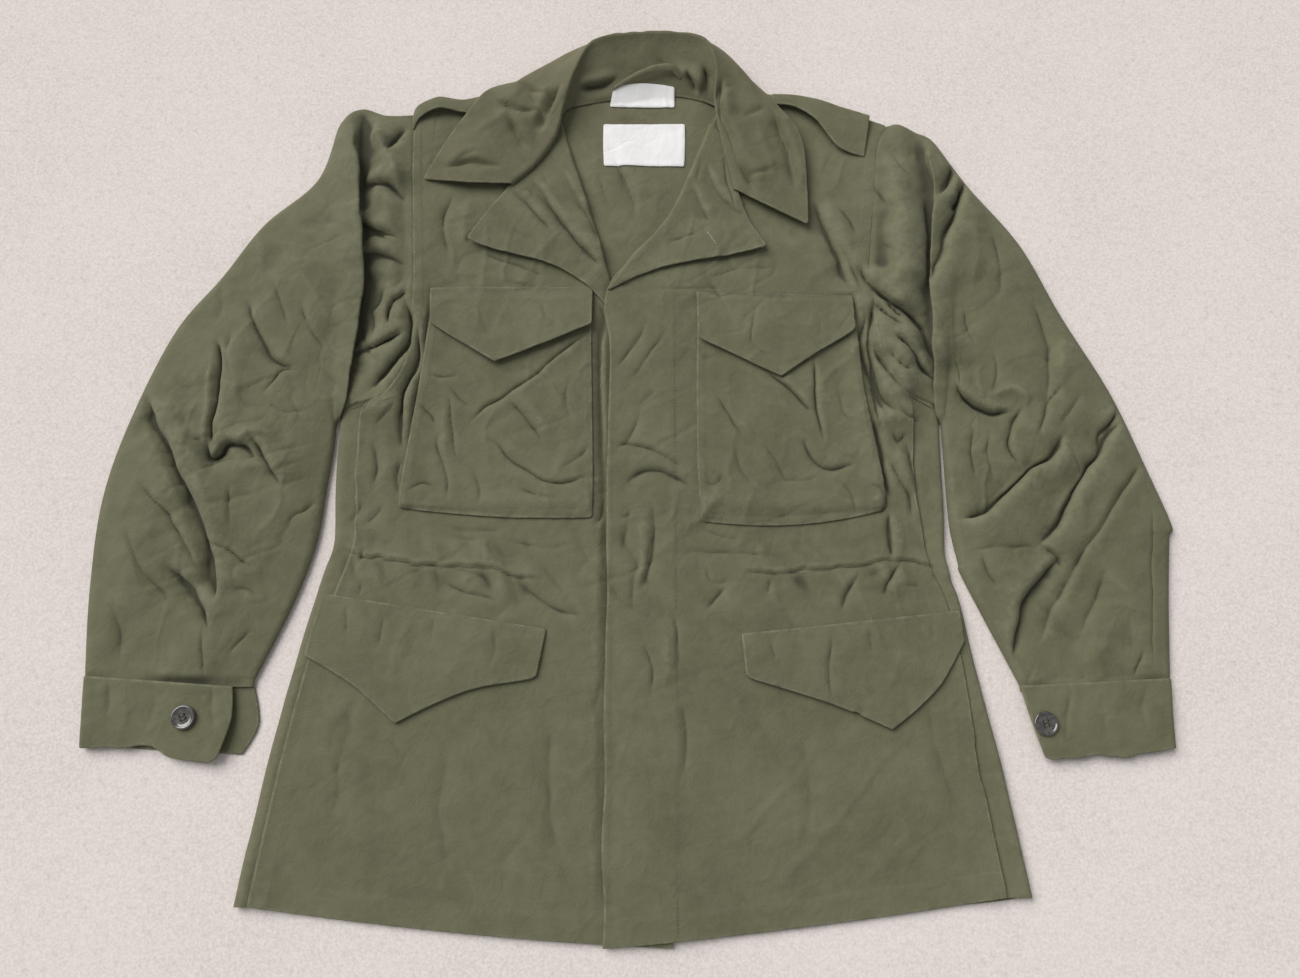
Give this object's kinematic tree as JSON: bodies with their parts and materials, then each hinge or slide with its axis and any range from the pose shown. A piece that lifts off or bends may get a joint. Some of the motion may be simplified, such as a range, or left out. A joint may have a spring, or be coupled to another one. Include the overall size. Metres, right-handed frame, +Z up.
{
  "type": "field jacket",
  "caption": "Olive cotton field jacket laid flat face up, collar and lapels open, with shoulder loops, chest pockets, skirt pocket flaps and buttoned cuffs.",
  "frame": {"origin": "the middle of the jacket's outline seen from above, on the surface that it lies on", "axes": "+X across the jacket from cuff to cuff towards the wearer's left, +Y along it towards the collar, +Z up from the surface, through the front"},
  "size_m": [0.9396, 0.8388, 0.0271],
  "materials": {
    "field_cotton": "olive cotton sateen, washed and matt",
    "label_cotton": "plain white woven tape",
    "button_plastic": "dark grey, moulded, slightly worn"
  },
  "bodies": {
    "root": {"back": "field_cotton", "front_right": "field_cotton", "front_left": "field_cotton", "lapel_right": "field_cotton", "lapel_left": "field_cotton", "collar": "field_cotton", "sleeve_right": "field_cotton", "sleeve_left": "field_cotton", "cuff_right": "field_cotton", "cuff_left": "field_cotton", "cuff_button_right": "button_plastic", "cuff_button_left": "button_plastic", "chest_pocket_right": "field_cotton", "chest_pocket_left": "field_cotton", "chest_flap_right": "field_cotton", "chest_flap_left": "field_cotton", "skirt_flap_right": "field_cotton", "skirt_flap_left": "field_cotton", "shoulder_loop_right": "field_cotton", "shoulder_loop_left": "field_cotton", "hanger_loop": "field_cotton", "neck_label": "label_cotton", "size_label": "label_cotton"}
  },
  "joints": []
}
